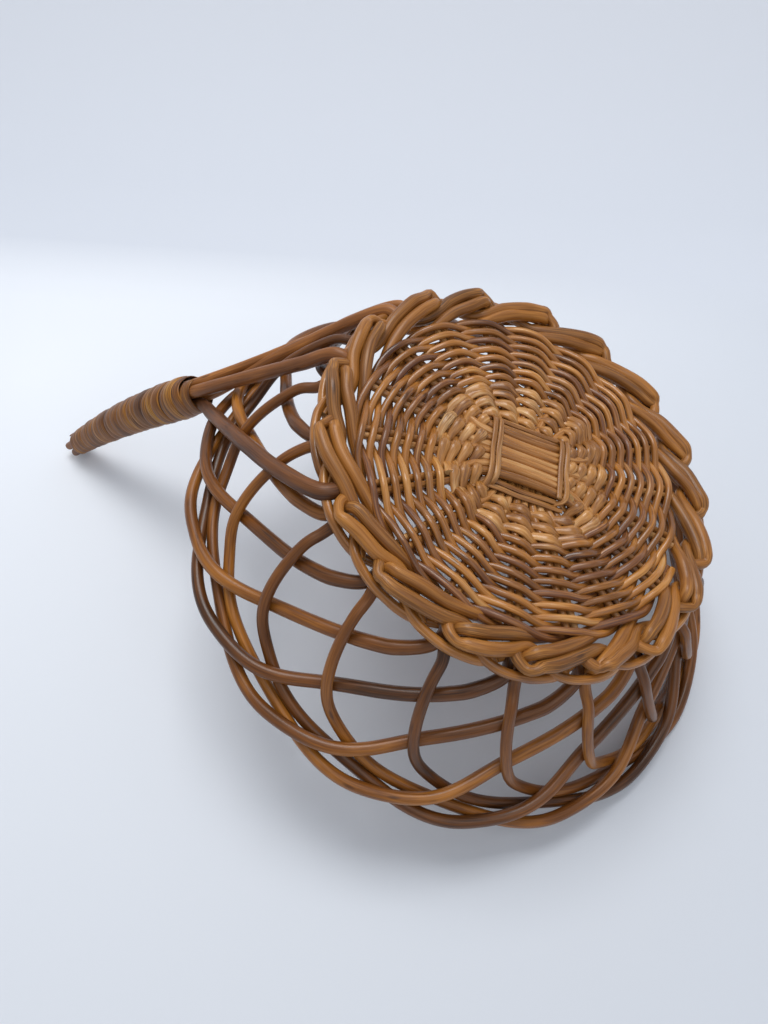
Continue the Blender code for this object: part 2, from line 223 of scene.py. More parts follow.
# Both ends of a rod in the border: turn in positions, then radius, height, thickness in
# millimetres, and wear. The steep leg folds over into the inner stroke of a pair; the slanting
# leg comes out between two pairs, folds back at a sharp point and is the outer stroke.
INNER_STROKE = (
    (1.60, 86.4, -12.4, 5.6, 0.8), (1.32, 86.8, -11.0, 6.0, 0.7), (1.05, 89.0, -8.4, 6.4, 0.6),
    (0.70, 92.2, -5.3, 6.8, 0.6), (0.35, 95.8, -3.9, 7.0, 0.6), (0.07, 98.6, -3.4, 6.4, 1.0),
    (0.00, 99.5, -4.5, 5.6, 1.0), (-0.02, 99.6, -8.5, 5.6, 0.6), (-0.01, 101.0, -13.0, 6.2, 0.2),
    (0.02, 104.0, -17.6, 6.0, 0.1), (0.05, 108.6, -22.4, 5.7, 0.1),
)
OUTER_STROKE = (
    (-0.11, 104.8, -19.8, 6.4, 0.1), (-0.10, 99.4, -15.0, 6.4, 0.1),
    (-0.15, 97.0, -11.0, 6.2, 0.2), (-0.17, 98.8, -8.4, 6.0, 0.4),
    (-0.11, 102.2, -6.9, 5.5, 0.8), (-0.01, 105.8, -5.6, 4.9, 1.0), (0.05, 106.0, -4.7, 5.4, 1.0),
    (0.14, 105.0, -4.1, 6.5, 0.9), (0.35, 102.8, -4.2, 7.0, 0.6), (0.70, 99.0, -5.8, 6.8, 0.6),
    (1.00, 95.4, -8.2, 6.3, 0.6), (1.20, 94.8, -10.4, 5.8, 0.7), (1.38, 97.4, -11.8, 5.2, 0.8),
    (1.54, 100.8, -12.6, 4.6, 0.9), (1.66, 103.4, -13.4, 3.9, 1.0),
)
# Where one stroke of a pair lies under the other instead of beside it
STACKED_POSITIONS = (0, 1, 2, 3, 4, 5, 15)
STACK_OUT = 3.4
STACK_DROP = 3.2
STACK_TRIM = 1.6
STACK_REACH = 1.3
STACK_FLOOR = -12
# How far each stroke pair of the border stands from its even place, in degrees, and how fast
# that fades down the wall
STROKE_SHIFTS = (-5.3, -7.5, -10.2, -10.1, -7.2, -6.3, -2.9, -5.6, -1.7,
                 -0.9, -1.3, 2.7, 0.7, 3.9, 2.1, 2.5, -1.0, 0.2)
SHIFT_FADE = 1.6
STROKE_STRAY = 0.0007
ARCH_TOP = 0.030
# Below this height a rod that would sink into the table bends up onto it
TABLE_EASE = 0.03


def polar(angle, radius, height):
    return Vector((radius * math.cos(angle), radius * math.sin(angle), height))


def wall_radius(depth_share):
    straight = WALL_TOP_RADIUS + (RIM_RADIUS - WALL_TOP_RADIUS) * depth_share
    return straight - 4 * WALL_HOLLOW * depth_share * (1 - depth_share)


def settled(angle, depth_share):
    """The azimuth of a place on the basket, with the uneven spacing that fades down the wall."""
    position = (angle - FIRST_POSITION) / POSITION_ANGLE
    before = math.floor(position)
    near, far = (STROKE_SHIFTS[index % POSITIONS] for index in (before, before + 1))
    shift = near + (far - near) * (position - before)
    return angle + math.radians(shift) * max(0.0, 1 - SHIFT_FADE * depth_share)


def basket_point(angle, radius, height):
    """A place in the wall or border; the rings of the wall move off centre with depth."""
    depth_share = max(0.0, -height / WALL_DEPTH)
    point = polar(settled(angle, depth_share), radius, height)
    return point + Vector((RIM_SHIFT * depth_share, 0, 0))


def wall_point(angle, depth_share, outward):
    return basket_point(angle, wall_radius(depth_share) + outward, -WALL_DEPTH * depth_share)


def stroke_stations(table, position, stray):
    """Points, thickness and wear of a border stroke, a little off its rule."""
    stations = []
    angle = FIRST_POSITION + position * POSITION_ANGLE
    stacked = position % POSITIONS in STACKED_POSITIONS
    for turn, radius, height, thick, wear in table:
        if stacked and abs(turn) < STACK_REACH and height > STACK_FLOOR:
            eased = 1 - abs(turn) / STACK_REACH
            if table is INNER_STROKE:
                radius += STACK_OUT * eased
                height -= STACK_DROP * eased
            else:
                radius -= STACK_TRIM * eased
        point = basket_point(angle + turn * POSITION_ANGLE, radius / 1000, height / 1000)
        point += Vector([stray.uniform(-1, 1) * STROKE_STRAY for _ in range(3)])
        stations.append((point, thick / 1000, wear))
    return stations


def lattice_rod_stations(position, stray):
    angle = FIRST_POSITION + position * POSITION_ANGLE
    start = stroke_stations(INNER_STROKE, position, stray)
    arch = [(wall_point(angle + turn * POSITION_ANGLE, depth, side * SIDE_SWING),
             ROD * (THIN_END + (1 - THIN_END) * turn / FULL_AT), ARCH_WEAR)
            for turn, depth, side in ARCH_SHARES]
    end = stroke_stations(OUTER_STROKE, position + STEPS_SPANNED, stray)
    return start + arch + end


def part_way(low, high, start, stop, now):
    return low + (high - low) * ((now - start) / (stop - start))


def bend_through(stations, step, closed=False):
    """A smooth curve through the stations, as a rod takes it, with thickness and wear."""
    points = [station[0] for station in stations]
    if closed:
        chain = [points[-1], *points, points[0], points[1]]
    else:
        chain = [2 * points[0] - points[1], *points, 2 * points[-1] - points[-2]]
    bent = []
    for index in range(len(chain) - 3):
        held = chain[index:index + 4]
        knots = [0.0]
        for near, far in zip(held, held[1:]):
            knots.append(knots[-1] + math.sqrt((far - near).length))
        pieces = max(1, round((held[2] - held[1]).length / step))
        near, far = stations[index], stations[(index + 1) % len(stations)]
        for piece in range(pieces):
            now = part_way(knots[1], knots[2], 0, pieces, piece)
            level = held
            for low_knot, span in ((0, 1), (0, 2), (1, 1)):
                level = [part_way(low, high, knots[place + low_knot],
                                  knots[place + low_knot + span], now)
                         for place, (low, high) in enumerate(zip(level, level[1:]))]
            share = piece / pieces
            bent.append((level[0], near[1] + (far[1] - near[1]) * share,
                         near[2] + (far[2] - near[2]) * share))
    return bent if closed else bent + [stations[-1]]


def spring_out(bent, passes=3, reach=4):
    """The rod's own stiffness: between its folds it runs in one easy curve."""
    deep = [index for index, station in enumerate(bent) if station[0].z < -ARCH_TOP]
    first, last = deep[0], deep[-1]
    for _ in range(passes):
        points = [station[0] for station in bent]
        for index in range(first + 1, last):
            span = min(reach, index - first, last - index)
            near = points[index - span:index + span + 1]
            bent[index] = (sum(near, Vector()) / len(near), *bent[index][1:])
    return bent


# Willow as it grows: swellings in a metre, the least girth, how far the flutes of worn bark are
# drawn out along the rod, and the level that parts a ridge from a furrow
SWELLINGS_PER_METRE = 45.0
LEAST_GIRTH = 0.96
FLUTE_STRETCH = 0.06
RIDGE_LEVEL = 0.55


def make_growth(name, upright):
    """A tree that grows willow along routes: uneven bow and thickness, grain and cut ends."""
    tree = bpy.data.node_groups.new(name, "GeometryNodeTree")
    for label, kind in (
        ("Route", "Geometry"), ("Ring spacing", "Float"), ("Sides", "Int"), ("Flatness", "Float"),
        ("Bow", "Float"), ("Bow length", "Float"), ("Swelling", "Float"), ("Fluting", "Float"),
        ("Flute width", "Float"), ("Tone", "Float"), ("Seed", "Int"), ("Willow", "Material"),
        ("Cut wood", "Material"),
    ):
        tree.interface.new_socket(label, in_out="INPUT", socket_type="NodeSocket" + kind)
    tree.interface.new_socket("Rods", in_out="OUTPUT", socket_type="NodeSocketGeometry")
    given = tree.nodes.new("NodeGroupInput").outputs

    route = add_node(tree, "GeometryNodeMeshToCurve", {"Mesh": given["Route"]})
    spaced = add_node(tree, "GeometryNodeResampleCurve", {
        "Curve": route.outputs["Curve"], "Length": given["Ring spacing"]}, mode="LENGTH")
    here = add_node(tree, "GeometryNodeInputPosition")
    per_metre = add_node(tree, "ShaderNodeMath", {0: 1.0, 1: given["Bow length"]},
                         operation="DIVIDE")
    waver = add_node(tree, "ShaderNodeTexNoise", {
        "Vector": here.outputs[0], "W": given["Seed"], "Scale": per_metre.outputs[0],
        "Detail": 1.0}, noise_dimensions="4D")
    centred = add_node(tree, "ShaderNodeVectorMath", {
        0: waver.outputs["Color"], 1: (0.5, 0.5, 0.5)}, operation="SUBTRACT")
    bowed = add_node(tree, "ShaderNodeVectorMath", {
        0: centred.outputs[0], "Scale": given["Bow"]}, operation="SCALE")
    moved = add_node(tree, "GeometryNodeSetPosition", {
        "Geometry": spaced.outputs["Curve"], "Offset": bowed.outputs[0]})
    aimed = add_node(tree, "GeometryNodeSetCurveNormal", {"Curve": moved.outputs["Geometry"]},
                     mode="Z_UP" if upright else "MINIMUM_TWIST")
    run = add_node(tree, "GeometryNodeSplineParameter")
    measured = add_node(tree, "GeometryNodeStoreNamedAttribute", {
        "Geometry": aimed.outputs["Curve"], "Name": "along", "Value": run.outputs["Length"]},
        data_type="FLOAT", domain="POINT")

    along = add_node(tree, "GeometryNodeInputNamedAttribute", {"Name": "along"},
                     data_type="FLOAT")
    thick = add_node(tree, "GeometryNodeInputNamedAttribute", {"Name": "thick"},
                     data_type="FLOAT")
    lengthwise = add_node(tree, "ShaderNodeCombineXYZ", {"Z": along.outputs["Attribute"]})
    lumps = add_node(tree, "ShaderNodeTexNoise", {
        "Vector": lengthwise.outputs[0], "W": given["Seed"], "Scale": SWELLINGS_PER_METRE,
        "Detail": 1.0}, noise_dimensions="4D")
    swelling = add_node(tree, "ShaderNodeMath", {
        0: lumps.outputs["Fac"], 1: given["Swelling"], 2: LEAST_GIRTH}, operation="MULTIPLY_ADD")
    girth = add_node(tree, "ShaderNodeMath", {
        0: thick.outputs["Attribute"], 1: swelling.outputs[0]}, operation="MULTIPLY")

    ring = add_node(tree, "GeometryNodeCurvePrimitiveCircle", {
        "Resolution": given["Sides"], "Radius": 0.5})
    there = add_node(tree, "GeometryNodeInputPosition")
    marked = add_node(tree, "GeometryNodeStoreNamedAttribute", {
        "Geometry": ring.outputs["Curve"], "Name": "around", "Value": there.outputs[0]},
        data_type="FLOAT_VECTOR", domain="POINT")
    flat_axis, wide_axis = ("Y", "X") if upright else ("X", "Y")
    squeeze = add_node(tree, "ShaderNodeCombineXYZ", {
        flat_axis: given["Flatness"], wide_axis: 1.0, "Z": 1.0})
    section = add_node(tree, "GeometryNodeTransform", {
        "Geometry": marked.outputs["Geometry"], "Scale": squeeze.outputs[0]})
    skin = add_node(tree, "GeometryNodeCurveToMesh", {
        "Curve": measured.outputs["Geometry"], "Profile Curve": section.outputs["Geometry"],
        "Scale": girth.outputs[0], "Fill Caps": True})

    around = add_node(tree, "GeometryNodeInputNamedAttribute", {"Name": "around"},
                      data_type="FLOAT_VECTOR")
    outward = add_node(tree, "ShaderNodeVectorMath", {
        0: around.outputs["Attribute"], "Scale": thick.outputs["Attribute"]},
        operation="SCALE")
    fibre = add_node(tree, "ShaderNodeVectorMath", {
        0: outward.outputs[0], 1: lengthwise.outputs[0]}, operation="ADD")
    grained = add_node(tree, "GeometryNodeStoreNamedAttribute", {
        "Geometry": skin.outputs["Mesh"], "Name": "grain", "Value": fibre.outputs[0]},
        data_type="FLOAT_VECTOR", domain="POINT")
    toned = add_node(tree, "GeometryNodeStoreNamedAttribute", {
        "Geometry": grained.outputs["Geometry"], "Name": "tone", "Value": given["Tone"]},
        data_type="FLOAT", domain="POINT")

    stretched = add_node(tree, "ShaderNodeVectorMath", {
        0: fibre.outputs[0], 1: (1.0, 1.0, FLUTE_STRETCH)}, operation="MULTIPLY")
    per_flute = add_node(tree, "ShaderNodeMath", {0: 1.0, 1: given["Flute width"]},
                         operation="DIVIDE")
    flutes = add_node(tree, "ShaderNodeTexNoise", {
        "Vector": stretched.outputs[0], "W": given["Seed"], "Scale": per_flute.outputs[0],
        "Detail": 2.0}, noise_dimensions="4D")
    ridge = add_node(tree, "ShaderNodeMath", {0: flutes.outputs["Fac"], 1: RIDGE_LEVEL},
                     operation="SUBTRACT")
    wear = add_node(tree, "GeometryNodeInputNamedAttribute", {"Name": "wear"},
                    data_type="FLOAT")
    worn = add_node(tree, "ShaderNodeMath", {
        0: ridge.outputs[0], 1: wear.outputs["Attribute"]}, operation="MULTIPLY")
    depth = add_node(tree, "ShaderNodeMath", {0: worn.outputs[0], 1: given["Fluting"]},
                     operation="MULTIPLY")
    facing = add_node(tree, "GeometryNodeInputNormal")
    push = add_node(tree, "ShaderNodeVectorMath", {
        0: facing.outputs[0], "Scale": depth.outputs[0]}, operation="SCALE")
    fluted = add_node(tree, "GeometryNodeSetPosition", {
        "Geometry": toned.outputs["Geometry"], "Offset": push.outputs[0]})

    corners = add_node(tree, "GeometryNodeInputMeshFaceNeighbors")
    is_side = add_node(tree, "FunctionNodeCompare", {
        2: corners.outputs["Vertex Count"], 3: 5}, data_type="INT", operation="LESS_THAN")
    smooth = add_node(tree, "GeometryNodeSetShadeSmooth", {
        "Geometry": fluted.outputs["Geometry"], "Selection": is_side.outputs[0]})
    real = add_node(tree, "GeometryNodeRealizeInstances", {
        "Geometry": smooth.outputs["Geometry"]})
    cut = add_node(tree, "GeometryNodeSetMaterial", {
        "Geometry": real.outputs["Geometry"], "Material": given["Cut wood"]})
    finished = add_node(tree, "GeometryNodeSetMaterial", {
        "Geometry": cut.outputs["Geometry"], "Selection": is_side.outputs[0],
        "Material": given["Willow"]})
    add_node(tree, "NodeGroupOutput", {"Rods": finished.outputs["Geometry"]})
    return tree


def make_piece(name, growth, rods, stands_for, settings):
    """Grows the rods, leans them with the basket and puts them in place of their CAD nodes."""
    mesh = bpy.data.meshes.new(name + "_route")
    bent = [station for route, _ in rods for station in route]
    edges, first = [], 0
    for route, closed in rods:
        edges += [(first + place, first + place + 1) for place in range(len(route) - 1)]
        if closed:
            edges.append((first + len(route) - 1, first))
        first += len(route)
    mesh.from_pydata([point for point, _, _ in bent], edges, [])
    for label, values in (("thick", [thick for _, thick, _ in bent]),
                          ("wear", [wear for _, _, wear in bent])):
        mesh.attributes.new(label, "FLOAT", "POINT").data.foreach_set("value", values)
    route = bpy.data.objects.new(name + "_route", mesh)
    scene.collection.objects.link(route)
    modifier = route.modifiers.new("growth", "NODES")
    modifier.node_group = growth
    for socket in growth.interface.items_tree:
        if socket.in_out == "INPUT" and socket.name in settings:
            modifier[socket.identifier] = settings[socket.name]
    bpy.context.view_layer.update()
    graph = bpy.context.evaluated_depsgraph_get()
    grown = bpy.data.meshes.new_from_object(route.evaluated_get(graph))
    bpy.data.objects.remove(route, do_unlink=True)
    grown.name = name
    grown.transform(RESTING)
    sunk = min(vertex.co.z for vertex in grown.vertices)
    if sunk < 0:
        for vertex in grown.vertices:
            if vertex.co.z < TABLE_EASE:
                vertex.co.z -= sunk * (1 - max(0.0, vertex.co.z) / TABLE_EASE)
    piece = bpy.data.objects.new(name, grown)
    scene.collection.objects.link(piece)
    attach(piece, "root")
    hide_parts(*stands_for)


def even(points, thick, wear):
    """Stations of a strand with one thickness and wear all along."""
    return [(point, thick, wear) for point in points]


def willow_finish(name, dark, middle, light, worn, roughness, coat, streak_mm=0.35,
                  streaking=0.7):
    """Stained and varnished willow: streaked along the rod, with pores, nodes and worn patches."""
    material, tree, shader = start_material(name)
    grain = add_node(tree, "ShaderNodeAttribute", attribute_name="grain")
    own_tone = add_node(tree, "ShaderNodeAttribute", attribute_name="tone")
    wear = add_node(tree, "ShaderNodeAttribute", attribute_name="wear")

    def fibre_noise(across_mm, along_mm, detail):
        scaled = add_node(tree, "ShaderNodeVectorMath", {
            0: grain.outputs["Vector"],
            1: (1000 / across_mm, 1000 / across_mm, 1000 / along_mm)}, operation="MULTIPLY")
        return add_node(tree, "ShaderNodeTexNoise", {
            "Vector": scaled.outputs[0], "W": own_tone.outputs["Fac"], "Scale": 1.0,
            "Detail": detail}, noise_dimensions="4D").outputs["Fac"]

    streaks = fibre_noise(streak_mm * 2, 14.0, 3.0)
    patches = fibre_noise(9.0, 38.0, 2.0)
    cracks = fibre_noise(streak_mm * 1.5, 22.0, 1.0)

    mixed = add_node(tree, "ShaderNodeMath", {0: streaks, 1: streaking, 2: 0.105 - streaking / 2},
                     operation="MULTIPLY_ADD")
    mixed = add_node(tree, "ShaderNodeMath", {0: patches, 1: 0.85, 2: mixed.outputs[0]},
                     operation="MULTIPLY_ADD")
    mixed = add_node(tree, "ShaderNodeMath", {
        0: own_tone.outputs["Fac"], 1: 0.55, 2: mixed.outputs[0]}, operation="MULTIPLY_ADD")
    mixed = add_node(tree, "ShaderNodeMath", {0: mixed.outputs[0], 1: 0.36},
                     operation="SUBTRACT")
    stain = add_node(tree, "ShaderNodeValToRGB", {"Fac": mixed.outputs[0]})
    ramp = stain.color_ramp
    ramp.elements[0].position = 0.12
    ramp.elements[0].color = srgb(dark)
    ramp.elements[1].position = 0.88
    ramp.elements[1].color = srgb(light)
    ramp.elements.new(0.5).color = srgb(middle)

    scuffed = add_node(tree, "ShaderNodeMapRange", {
        0: cracks, 1: 0.42, 2: 0.62, 3: 0.3, 4: 0.85})
    scuffed = add_node(tree, "ShaderNodeMath", {
        0: scuffed.outputs[0], 1: wear.outputs["Fac"]}, operation="MULTIPLY")
    coloured = add_node(tree, "ShaderNodeMix", {
        "Factor": scuffed.outputs[0], 6: stain.outputs["Color"], 7: srgb(worn)},
        data_type="RGBA")

    spots = add_node(tree, "ShaderNodeVectorMath", {
        0: grain.outputs["Vector"], 1: (210.0, 210.0, 55.0)}, operation="MULTIPLY")
    cells = add_node(tree, "ShaderNodeTexVoronoi", {
        "Vector": spots.outputs[0], "W": own_tone.outputs["Fac"], "Scale": 1.0},
        voronoi_dimensions="4D")
    scar = add_node(tree, "ShaderNodeMapRange", {
        0: cells.outputs["Distance"], 1: 0.10, 2: 0.22, 3: 0.62, 4: 0.0})
    marked = add_node(tree, "ShaderNodeMix", {
        "Factor": scar.outputs[0], 6: coloured.outputs[2], 7: srgb("3A2010")},
        data_type="RGBA")
    tree.links.new(marked.outputs[2], shader.inputs["Base Color"])

    rough = add_node(tree, "ShaderNodeMath", {0: streaks, 1: 0.22, 2: roughness - 0.11},
                     operation="MULTIPLY_ADD")
    rough = add_node(tree, "ShaderNodeMath", {
        0: scuffed.outputs[0], 1: 0.2, 2: rough.outputs[0]}, operation="MULTIPLY_ADD")
    tree.links.new(rough.outputs[0], shader.inputs["Roughness"])
    shader.inputs["Specular IOR Level"].default_value = 0.35
    shader.inputs["Coat Weight"].default_value = coat
    shader.inputs["Coat Roughness"].default_value = 0.2

    relief = add_node(tree, "ShaderNodeMath", {
        0: cracks, 1: wear.outputs["Fac"]}, operation="MULTIPLY")
    relief = add_node(tree, "ShaderNodeMath", {0: streaks, 1: 0.35, 2: relief.outputs[0]},
                      operation="MULTIPLY_ADD")
    bump = add_node(tree, "ShaderNodeBump", {
        "Height": relief.outputs[0], "Strength": 0.55, "Distance": 0.00035})
    tree.links.new(bump.outputs["Normal"], shader.inputs["Normal"])
    return material


def cut_finish():
    """End grain of cut willow: pale pith in the middle and darker rings, dry and matt."""
    material, tree, shader = start_material("cut willow end grain")
    place = add_node(tree, "ShaderNodeTexCoord")
    rings = add_node(tree, "ShaderNodeTexNoise", {
        "Vector": place.outputs["Object"], "Scale": 900.0, "Detail": 2.0})
    stain = add_node(tree, "ShaderNodeMix", {
        "Factor": rings.outputs["Fac"], 6: srgb("8A6136"), 7: srgb("CDA56C")},
        data_type="RGBA")
    tree.links.new(stain.outputs[2], shader.inputs["Base Color"])
    shader.inputs["Roughness"].default_value = 0.75
    return material


round_growth = make_growth("round willow growth", upright=False)
cut_willow = cut_finish()
stained_rod = willow_finish("stained willow rod", "2F1508", "714014", "B37228", "B87C38",
                            roughness=0.38, coat=0.2)
ROD_SETTINGS = {
    "Ring spacing": 0.0014, "Sides": 14, "Flatness": 0.96, "Bow": 0.0012, "Bow length": 0.05,
    "Swelling": 0.08, "Fluting": 0.0013, "Flute width": 0.0018, "Willow": stained_rod,
    "Cut wood": cut_willow,
}
for index in range(POSITIONS):
    stations = lattice_rod_stations(index, random.Random(300 + index))
    make_piece(f"wall_rod_{index + 1:02d}", round_growth,
               [(spring_out(bend_through(stations, ROD_STEP)), False)],
               [f"lattice_rod_{index + 1:02d}"],
               {**ROD_SETTINGS, "Tone": 0.1 + 0.85 * ((index * 7) % POSITIONS) / POSITIONS,
                "Seed": 10 + index})


# Base sticks. Thicker peeled rods: eight lie across ten in the middle, and both sets open out
# into pairs that run to the border.
STICK = 0.0043
STICK_LAY = 0.0042
STICK_GIRTHS = (0.88, 0.92, 0.98, 1.14, 1.14, 0.98, 0.92, 0.88)
STICK_WEAR = 0.35
STICK_STEP = 0.002
ACROSS_STICKS = 8
UNDER_STICKS = 10
BASE_DROP = 0.0078
CROSS_TWIST = math.radians(2.5)
CROSS_ANGLE = FIRST_POSITION - CROSS_TWIST + POSITION_ANGLE / 2
OPENING_START = 0.0035
ROUND_RADIUS = 0.045
STICK_END_RADIUS = 0.0865


def to_base(point, angle):
    return Matrix.Rotation(angle, 3, "Z") @ point - Vector((0, 0, BASE_DROP))


def arm_points(index, count, level):
    """Half of a stick, from the middle of the base to its end under the border."""
    pair = index // 2 - (count / 2 - 1) / 2
    lane = STICK_LAY / 2 * (1 if index % 2 else -1)
    offset = 2 * pair * STICK_LAY
    leave = (ACROSS_STICKS + UNDER_STICKS - count) * STICK_LAY / 2 + OPENING_START
    turn = pair * POSITION_ANGLE
    sideways = Vector((-math.sin(turn), math.cos(turn), 0)) * lane
    points = [Vector((leave, offset + lane, level))]
    for radius in (ROUND_RADIUS, (ROUND_RADIUS + STICK_END_RADIUS) / 2, STICK_END_RADIUS):
        points.append(polar(turn, radius, 0) + sideways)
    return points


def stick_points(index, count, set_angle, level):
    half = arm_points(index, count, level)
    mirrored = [Vector((-point.x, point.y, point.z)) for point in half]
    return [to_base(point, set_angle) for point in mirrored[::-1] + half]


stick_willow = willow_finish("peeled and stained willow stick", "5A2F11", "B5793C", "F0C286",
                             "8A6238", roughness=0.36, coat=0.3)
STICK_SETTINGS = {
    "Ring spacing": 0.0016, "Sides": 12, "Flatness": 0.9, "Bow": 0.0006, "Bow length": 0.04,
    "Swelling": 0.08, "Fluting": 0.0006, "Flute width": 0.0012, "Willow": stick_willow,
    "Cut wood": cut_willow,
}
for set_name, count, set_angle, level in (
    ("across", ACROSS_STICKS, CROSS_ANGLE, STICK_LAY / 2),
    ("under", UNDER_STICKS, CROSS_ANGLE + math.pi / 2, -STICK_LAY / 2),
):
    for index in range(count):
        node = (f"base_stick_across_{index + 1}" if set_name == "across"
                else f"base_stick_under_{index + 1:02d}")
        stations = [(point, STICK * girth, STICK_WEAR) for point, girth
                    in zip(stick_points(index, count, set_angle, level), STICK_GIRTHS)]
        make_piece(f"stick_{set_name}_{index + 1:02d}", round_growth,
                   [(bend_through(stations, STICK_STEP), False)], [node],
                   {**STICK_SETTINGS, "Tone": 0.2 + 0.65 * ((index * 3) % 7) / 7,
                    "Seed": 40 + index + count})


# Inner rows of the base. Thin willow strips bind the square cross first, one pair of turns laid
# flat along its sides, then tight flat strokes work round it until the rows are round.
STRIP = 0.0029
BINDING_TURNS = 2
BINDING_WEAR = 0.8
# How far the first turn lies off the sticks over either set, and the gap to the next turn
OFF_ACROSS = 0.0018
OFF_UNDER = 0.0005
TURN_GAP = 0.0002
CORNER_ROOM = 0.0008
WINDOW_HALF = 0.0152
FLAT_STRAND = 0.0059
# Of a strand's own size: its waist between pairs, girth over them, rise and slip past the other
STRAND_WAIST = 0.66
STRAND_GIRTHS = (0.9, 1.08)
STRAND_RISE = 0.42
STRAND_SLIP = 0.28
STRAND_BULGE = 0.0006
STRAND_WEARS = (0.0, 0.1, 0.3, 0.6, 1.0)
INNER_ROWS = 3.7
FIRST_ROW_ALONG = 0.0228
FIRST_ROW_ACROSS = 0.0222
SQUARENESS = 6.0
PATH_BEYOND = 0.002
HALVINGS = 24
STRIP_STEP = 0.0015


def pair_path(pair, share):
    """A place on a stick pair's way from the cross to the round rows."""
    quarter, place, count = locate_pair(pair)
    offset = 2 * place * STICK_LAY
    leave = (ACROSS_STICKS + UNDER_STICKS - count) * STICK_LAY / 2
    start = Vector((leave, offset, 0))
    end = polar(place * POSITION_ANGLE, ROUND_RADIUS + PATH_BEYOND, 0)
    return Matrix.Rotation(quarter * math.pi / 2, 3, "Z") @ start.lerp(end, share)


def locate_pair(pair):
    """Which arm of the cross a pair is in, its place there, and how many sticks the arm has."""
    order = [(0, place, ACROSS_STICKS) for place in (-1.5, -0.5, 0.5, 1.5)]
    order += [(1, place, UNDER_STICKS) for place in (-2, -1, 0, 1, 2)]
    order += [(quarter + 2, place, count) for quarter, place, count in order]
    return order[pair % POSITIONS]


def row_reach(point, share):
    """How far out a row lies in a point's direction: square at first, round at the end."""
    half_x = FIRST_ROW_ALONG + (ROUND_RADIUS - FIRST_ROW_ALONG) * share
    half_y = FIRST_ROW_ACROSS + (ROUND_RADIUS - FIRST_ROW_ACROSS) * share
    power = SQUARENESS + (2.0 - SQUARENESS) * share
    way = point.xy.normalized()
    return ((abs(way.x) / half_x) ** power + (abs(way.y) / half_y) ** power) ** (-1 / power)


def inner_row_point(pair, share):
    """Where a pair's path crosses a row, found by halving."""
    low, high = 0.0, 1.0
    for _ in range(HALVINGS):
        middle = (low + high) / 2
        point = pair_path(pair, middle)
        if point.length < row_reach(point, share):
            low = middle
        else:
            high = middle
    return point


def pair_level(pair, point):
    """Sticks leave the cross high or low and come level where the rows are round."""
    quarter = locate_pair(pair)[0]
    start = UNDER_STICKS * STICK_LAY / 2
    fade = max(0.0, 1 - (point.length - start) / (ROUND_RADIUS - start))
    return STICK_LAY / 2 * fade * (1 if quarter % 2 == 0 else -1)


def binding_points(strand):
    """Round the window in the cross on top, and round the whole cross below."""
    points = []
    lift = (STICK * 1.1 + STRIP * 0.55) / 2
    window_x = WINDOW_HALF if strand > 0 else UNDER_STICKS * STICK_LAY / 2
    window_y = ACROSS_STICKS * STICK_LAY / 2
    for quarter in range(4 * BINDING_TURNS):
        over_across = quarter % 2 == 0
        grown = ((OFF_ACROSS if over_across else OFF_UNDER)
                 + (quarter // 4) * (STRIP + TURN_GAP))
        half_x, half_y = (window_x, window_y) if over_across else (window_y, window_x)
        level = STICK_LAY / 2 if over_across else -STICK_LAY / 2
        height = level + lift * (strand if over_across else -strand)
        along = half_x + grown
        run = [Vector((along, -half_y, height)), Vector((along, 0, height)),
               Vector((along, half_y, height)),
               Vector((along + CORNER_ROOM, half_y + grown + CORNER_ROOM, 0))]
        points += [to_base(point, CROSS_ANGLE + quarter * math.pi / 2) for point in run]
    return points[:-1]


def inner_strand_stations(strand):
    """Over one pair and under the next, full over a pair and narrow where it dips."""
    points = []
    total = int(INNER_ROWS * POSITIONS)
    lift = (STICK + FLAT_STRAND * STRAND_RISE) / 2
    stray = random.Random(60 + strand)
    for step in range(2 * total + 1):
        share = step / (2 * total)
        pair, between = divmod(step, 2)
        over = strand * (1 if pair % 2 == 0 else -1)
        here = inner_row_point(pair, share)
        if between:
            there = inner_row_point(pair + 1, share)
            middle = (here + there) / 2
            slip = FLAT_STRAND * STRAND_SLIP * over
            middle += middle.normalized() * (slip + STRAND_BULGE)
            height = (pair_level(pair, here) + pair_level(pair + 1, there)) / 2
            points.append(middle + Vector((0, 0, height)))
        else:
            height = pair_level(pair, here) + over * lift
            points.append(here + Vector((0, 0, height)))
    stations = []
    for step, point in enumerate(points):
        girth = STRAND_WAIST if step % 2 else stray.uniform(*STRAND_GIRTHS)
        stations.append((to_base(point, CROSS_ANGLE), FLAT_STRAND * girth,
                         stray.choice(STRAND_WEARS)))
    return stations


flat_growth = make_growth("flat willow growth", upright=True)
strip_willow = willow_finish("split willow strip", "60320D", "BC8242", "F6CF97", "63371A",
                             roughness=0.34, coat=0.35, streak_mm=0.45)
STRIP_SETTINGS = {
    "Ring spacing": 0.0011, "Sides": 12, "Flatness": 0.5, "Bow": 0.0005, "Bow length": 0.012,
    "Swelling": 0.12, "Fluting": 0.0012, "Flute width": 0.0014, "Willow": strip_willow,
    "Cut wood": cut_willow,
}
for name, strand in (("over", 1), ("under", -1)):
    binding = bend_through(even(binding_points(strand), STRIP, BINDING_WEAR), STRIP_STEP)
    inner = bend_through(inner_strand_stations(strand), STRIP_STEP)
    make_piece(f"cross_binding_{name}", flat_growth, [(binding, False), (inner, False)],
               [f"slath_binding_{name}"],
               {**STRIP_SETTINGS, "Tone": 0.5 + 0.08 * strand, "Seed": 71 + strand})


# Outer rows of the base. A pair of thin stained weavers spirals out to the border, one over and
# one under each stick pair, crossing in the gaps.
WEAVER = 0.0037
ROW_PITCH = 0.0058
OUTER_ROWS_START = ROUND_RADIUS + 0.0006
OUTER_ROWS_END = 0.0885
